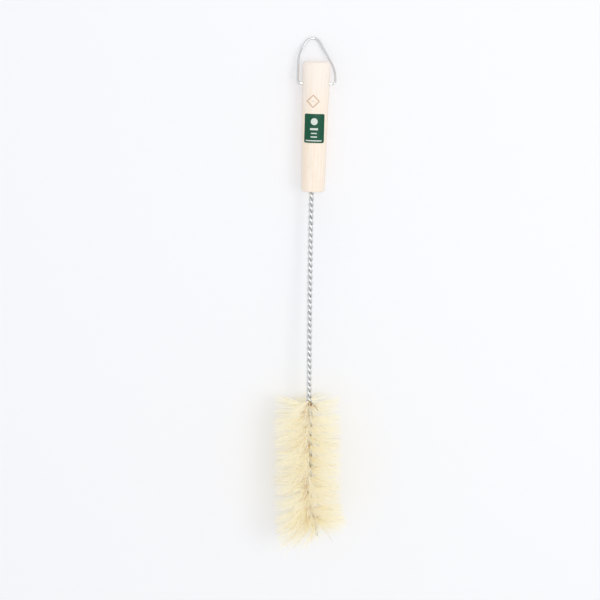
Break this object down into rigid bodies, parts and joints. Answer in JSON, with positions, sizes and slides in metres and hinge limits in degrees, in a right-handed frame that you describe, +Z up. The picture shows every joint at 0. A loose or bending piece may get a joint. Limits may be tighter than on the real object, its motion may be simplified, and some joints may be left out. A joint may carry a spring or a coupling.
{
  "type": "bottle brush",
  "caption": "Long bottle brush lying on its side: turned beech handle with a wire hanging bail, twisted wire stem and a round head of natural fibre.",
  "frame": {"origin": "on the floor under the middle of the lying brush (middle of the bounding box, at its base)", "axes": "+Y along the handle's axis seen from above, from the bristles towards the hanging end; +X to the right seen from above with the handle up; +Z up. The cross hole and the bail's hinge run along X."},
  "size_m": [0.0598, 0.3961, 0.0569],
  "materials": {
    "beech": "raw turned beech, sanded, no varnish",
    "bright_wire": "bright drawn steel wire",
    "galvanised_wire": "galvanised steel wire, slightly dull",
    "fibre": "natural plant fibre, matt with a slight sheen",
    "paper_label": "coated paper, satin, deep green with plain pale shapes"
  },
  "bodies": {
    "brush": {"handle": "beech", "stem_wire": "galvanised_wire", "bristle_head": "fibre", "label": "paper_label"},
    "bail": {"bail": "bright_wire"}
  },
  "joints": [
    {"name": "bail_swing", "type": "hinge", "parent": "brush", "child": "bail", "pos_m": [-0.0042, 0.16464, 0.01114], "axis": [1, 0, 0], "range_deg": [-140, 169]}
  ]
}
